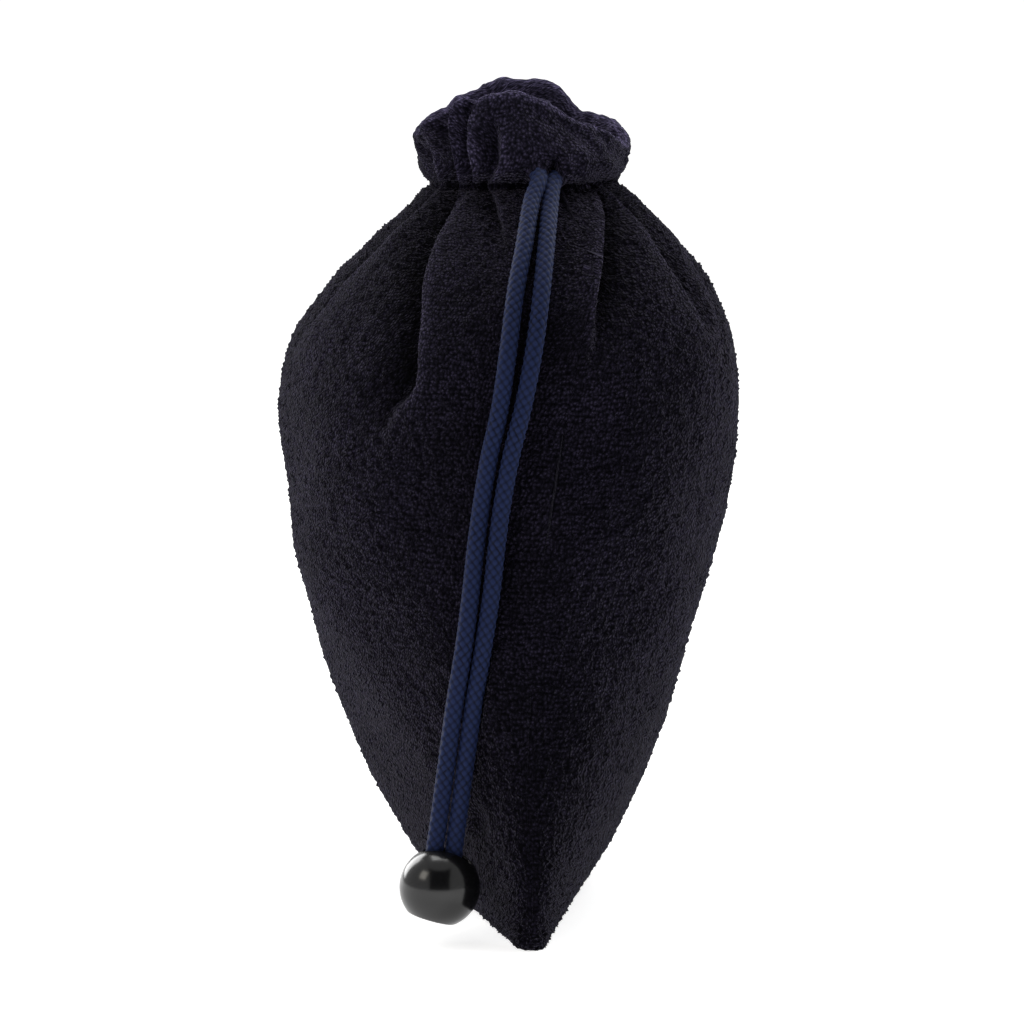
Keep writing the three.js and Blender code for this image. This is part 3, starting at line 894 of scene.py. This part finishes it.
def chenilleMaterial():
    # one height, of tufts, yarns and fibres, is both the bump and, raised to a power, the tone of the tips;
    # the dark low places between the tufts are partly painted shade
    material, nodes, links, shader = newMaterial("chenille")
    place = nodes.new("ShaderNodeUVMap")
    place.uv_map = "cloth"
    clothPlace = place.outputs["UV"]
    # tufts: cells a little flatter than a yarn, strayed by a slow noise, each high in its middle
    wander = noiseNode(nodes, links, clothPlace, 0.5)
    shift = nodes.new("ShaderNodeVectorMath")
    shift.operation = "MULTIPLY_ADD"
    shift.inputs[1].default_value = (chenille["wander"], chenille["wander"], 0.0)
    links.new(wander.outputs["Color"], shift.inputs[0])
    links.new(clothPlace, shift.inputs[2])
    cells = nodes.new("ShaderNodeMapping")
    tuftScale = (1 / chenille["tuftWidth"], 1 / chenille["rowPitch"] * chenille["tuftsPerRow"], 1)
    setInputs(cells, {"Rotation": (0, 0, chenille["tuftTilt"]), "Scale": tuftScale})
    links.new(shift.outputs["Vector"], cells.inputs["Vector"])
    tufts = nodes.new("ShaderNodeTexVoronoi")
    tufts.voronoi_dimensions = "2D"
    setInputs(tufts, {"Scale": 1.0, "Randomness": 0.9})
    links.new(cells.outputs["Vector"], tufts.inputs["Vector"])
    chance = nodes.new("ShaderNodeSeparateColor")
    links.new(tufts.outputs["Color"], chance.inputs["Color"])
    # yarns: one wave for each row of pile
    rows = nodes.new("ShaderNodeTexWave")
    rows.bands_direction = "Y"
    setInputs(rows, {"Scale": math.pi / 10 / chenille["rowPitch"], "Distortion": 2.2, "Detail": 3,
                     "Detail Scale": 1.2})
    links.new(clothPlace, rows.inputs["Vector"])
    fibres = noiseNode(nodes, links, clothPlace, 3.6)
    fibres.inputs["Roughness"].default_value = 0.6
    crown = mathNode(nodes, links, "MULTIPLY_ADD", tufts.outputs["Distance"], chenille["tuftFall"], 1.0)
    crown = mathNode(nodes, links, "MAXIMUM", crown, 0.0)
    lifted = mathNode(nodes, links, "MULTIPLY_ADD", chance.outputs["Red"], *chenille["tuftChance"])
    height = mathNode(nodes, links, "MULTIPLY", crown, lifted)
    height = mathNode(nodes, links, "MULTIPLY_ADD", rows.outputs["Fac"], chenille["rowHeight"], height)
    height = mathNode(nodes, links, "MULTIPLY_ADD", fibres.outputs["Fac"], chenille["fibreHeight"], height)
    bumpSurface(nodes, links, shader, height, 1.0, chenille["bump"])
    # colour: near black between the tufts, partly the pile's own dark ground and partly painted shade where
    # the tufts shade each other, navy grey on their tips, in slow patches of pile that lies over
    patches = noiseNode(nodes, links, clothPlace, 0.06, 4)
    tip = mathNode(nodes, links, "MULTIPLY", height, chenille["tipGain"])
    tip = mathNode(nodes, links, "POWER", tip, chenille["tipPower"])
    napAndPaintedLight = mathNode(nodes, links, "MULTIPLY_ADD", patches.outputs["Fac"], *chenille["patchTone"])
    tone = mathNode(nodes, links, "MULTIPLY", tip, napAndPaintedLight)
    colour = rampNode(nodes, links, tone, 0.03, chenille["dark"], 0.75, chenille["light"])
    # scaled by the painted light and shade that each point of the cloth carries: highlights on crests and
    # rim, shade in valleys
    paintedLightValue = nodes.new("ShaderNodeAttribute")
    paintedLightValue.attribute_name = "napAndPaintedLight"
    shaded = nodes.new("ShaderNodeVectorMath")
    shaded.operation = "SCALE"
    links.new(colour, shaded.inputs["Vector"])
    links.new(paintedLightValue.outputs["Fac"], shaded.inputs["Scale"])
    links.new(shaded.outputs["Vector"], shader.inputs["Base Color"])
    setInputs(shader, {"Roughness": 1.0, "Specular IOR Level": 0.05, "Sheen Weight": chenille["sheen"],
                       "Sheen Roughness": chenille["sheenRoughness"], "Sheen Tint": chenille["sheenTint"]})
    return material


def braidMaterial():
    # the tone is the stitch's height plus a share of a fine fibre noise, which is also the bump; the low
    # ends of each stitch are darker, painted shade where the yarns dive under one another
    material, nodes, links, shader = newMaterial("navy_braid")
    stitch = nodes.new("ShaderNodeAttribute")
    stitch.attribute_name = "stitch"
    place = nodes.new("ShaderNodeUVMap")
    place.uv_map = "cloth"
    fibres = noiseNode(nodes, links, place.outputs["UV"], 5.0).outputs["Fac"]
    tone = mathNode(nodes, links, "MULTIPLY_ADD", fibres, braid["fibreTone"], stitch.outputs["Fac"])
    colour = rampNode(nodes, links, tone, 0.25, braid["dark"], 1.0, braid["light"])
    links.new(colour, shader.inputs["Base Color"])
    bumpSurface(nodes, links, shader, fibres, 0.5, 0.0001)
    setInputs(shader, {"Roughness": 0.75, "Specular IOR Level": 0.15, "Sheen Weight": braid["sheen"],
                       "Sheen Roughness": braid["sheenRoughness"]})
    return material


def ballMaterial():
    # polished black, with a fine haze in its roughness
    material, nodes, links, shader = newMaterial("gloss_black")
    place = nodes.new("ShaderNodeTexCoord")
    haze = noiseNode(nodes, links, place.outputs["Object"], gloss["hazeScale"])
    rough = nodes.new("ShaderNodeMapRange")
    setInputs(rough, {"To Min": gloss["roughness"][0], "To Max": gloss["roughness"][1]})
    links.new(haze.outputs["Fac"], rough.inputs["Value"])
    links.new(rough.outputs["Result"], shader.inputs["Roughness"])
    setInputs(shader, {"Base Color": gloss["colour"], "IOR": 1.5, "Coat Weight": 0.0})
    return material


def dress(piece, material, slot, body, *nodes):
    # finish, attach the piece to its body and hide the nodes that it stands for; the slot is not used
    piece.data.materials.append(material)
    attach(piece, body)
    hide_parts(*nodes)


chenilleCloth = chenilleMaterial()
navyBraid = braidMaterial()
dress(frontCloth, chenilleCloth, "chenille", "pouch", "front_panel")
dress(backCloth, chenilleCloth, "chenille", "pouch", "back_panel")
dress(drawstring, navyBraid, "cord_braid", "pouch", "drawstring_cord")
dress(knotPiece, navyBraid, "cord_braid", "pouch", "end_knot")
dress(ball, ballMaterial(), "bead_gloss", "bead", "cord_end_bead")
print("materials set")


studio = {
    "floorSize": 120.0,
    "floorTone": (0.80, 0.80, 0.80, 1),
    "floorGlow": 0.64,
    "backdrop": 1.05,       # brightness of the backdrop that the camera sees
    "behindTone": 0.80,     # of the room behind the pouch
    "behindEdge": (0.1, 0.8),
    "sideTone": 0.60,       # on the camera's side of it
    "darkTone": 0.02,       # and in the gap behind the camera
    "darkWidth": 0.45,      # sine of half the gap's width
    "darkTop": 0.80,        # sine of its height
    "darkEdge": 0.06,       # softness of its sides and its top
    "topEdge": 0.08,
    "aim": (0, 0, 0.09),    # what the lights look at
}
# name, azimuth, elevation, distance, width and height, brightness, tint
lights = [
    ("left_box", 32, 31, 1.0, (0.34, 0.36), 3.6, (1.0, 0.94, 0.84)),
    ("back_left_box", -50, 22, 1.2, (0.6, 0.9), 6.5, (1, 1, 1)),
    ("back_right_box", 224, 34, 1.2, (0.6, 0.8), 5.5, (1, 1, 1)),
    ("top_box", 267, 72, 1.1, (0.7, 0.7), 4.0, (1, 1, 1)),
]


def makeFloor():
    # one pale face with a little glow of its own, so that it stays white under the soft light
    half = studio["floorSize"] / 2
    corners = [(-half, -half, 0), (half, -half, 0), (half, half, 0), (-half, half, 0)]
    floor = makePiece("floor", corners, [[(0, 1, 2, 3)]], smooth=False)
    material, _, _, shader = newMaterial("pale_floor")
    setInputs(shader, {"Base Color": studio["floorTone"], "Roughness": 0.8, "Specular IOR Level": 0.1,
                       "Emission Color": (1, 1, 1, 1), "Emission Strength": studio["floorGlow"]})
    floor.data.materials.append(material)


def makeLight(name, azimuth, elevation, distance, size, radiance, tint):
    # an area light gives off pi times its area times the brightness that its face shows
    data = bpy.data.lights.new(name, "AREA")
    data.shape = "RECTANGLE"
    data.size, data.size_y = size
    data.energy = math.pi * size[0] * size[1] * radiance
    data.color = tint
    light = bpy.data.objects.new(name, data)
    bpy.context.collection.objects.link(light)
    aimAt(light, lookFrom(azimuth, elevation, distance, studio["aim"]), studio["aim"])


def makeSurround():
    # a room that is bright behind the pouch, dimmer beside the camera and dark behind it; the backdrop
    # that the camera sees is plain white
    world = bpy.data.worlds.new("white_surround")
    world.use_nodes = True
    nodes, links = world.node_tree.nodes, world.node_tree.links
    background = nodes["Background"]
    place = nodes.new("ShaderNodeTexCoord")
    around = math.radians(view["azimuth"])
    towardsSide = (math.cos(around), math.sin(around), 0)
    towardsBack = (-math.sin(around), math.cos(around), 0)

    def shareAlong(direction, low, high, bothWays=False):
        # a smooth step over the sky direction's dot product with this one
        along = nodes.new("ShaderNodeVectorMath")
        along.operation = "DOT_PRODUCT"
        along.inputs[1].default_value = direction
        links.new(place.outputs["Generated"], along.inputs[0])
        amount = along.outputs["Value"]
        if bothWays:
            amount = mathNode(nodes, links, "ABSOLUTE", amount)
        share = nodes.new("ShaderNodeMapRange")
        share.interpolation_type = "SMOOTHSTEP"
        setInputs(share, {"From Min": low, "From Max": high})
        links.new(amount, share.inputs["Value"])
        return share.outputs["Result"]

    width, top = studio["darkWidth"], studio["darkTop"]
    aside = shareAlong(towardsSide, width, width + studio["darkEdge"], True)
    above = shareAlong((0, 0, 1), top, top + studio["topEdge"])
    behind = shareAlong(towardsBack, *studio["behindEdge"])
    behind = mathNode(nodes, links, "MULTIPLY", behind, studio["behindTone"])
    level = mathNode(nodes, links, "MAXIMUM", aside, above)
    level = mathNode(nodes, links, "MULTIPLY_ADD", level, studio["sideTone"], studio["darkTone"])
    level = mathNode(nodes, links, "MAXIMUM", level, behind)
    path = nodes.new("ShaderNodeLightPath")
    seen = nodes.new("ShaderNodeMix")
    seen.data_type = "FLOAT"
    links.new(path.outputs["Is Camera Ray"], seen.inputs["Factor"])
    links.new(level, seen.inputs["A"])
    seen.inputs["B"].default_value = studio["backdrop"]
    links.new(seen.outputs["Result"], background.inputs["Strength"])
    background.inputs["Color"].default_value = (1, 1, 1, 1)
    bpy.context.scene.world = world
    bpy.context.scene.view_settings.view_transform = "Standard"


makeFloor()
makeSurround()
for light in lights:
    makeLight(*light)
print("studio lit")
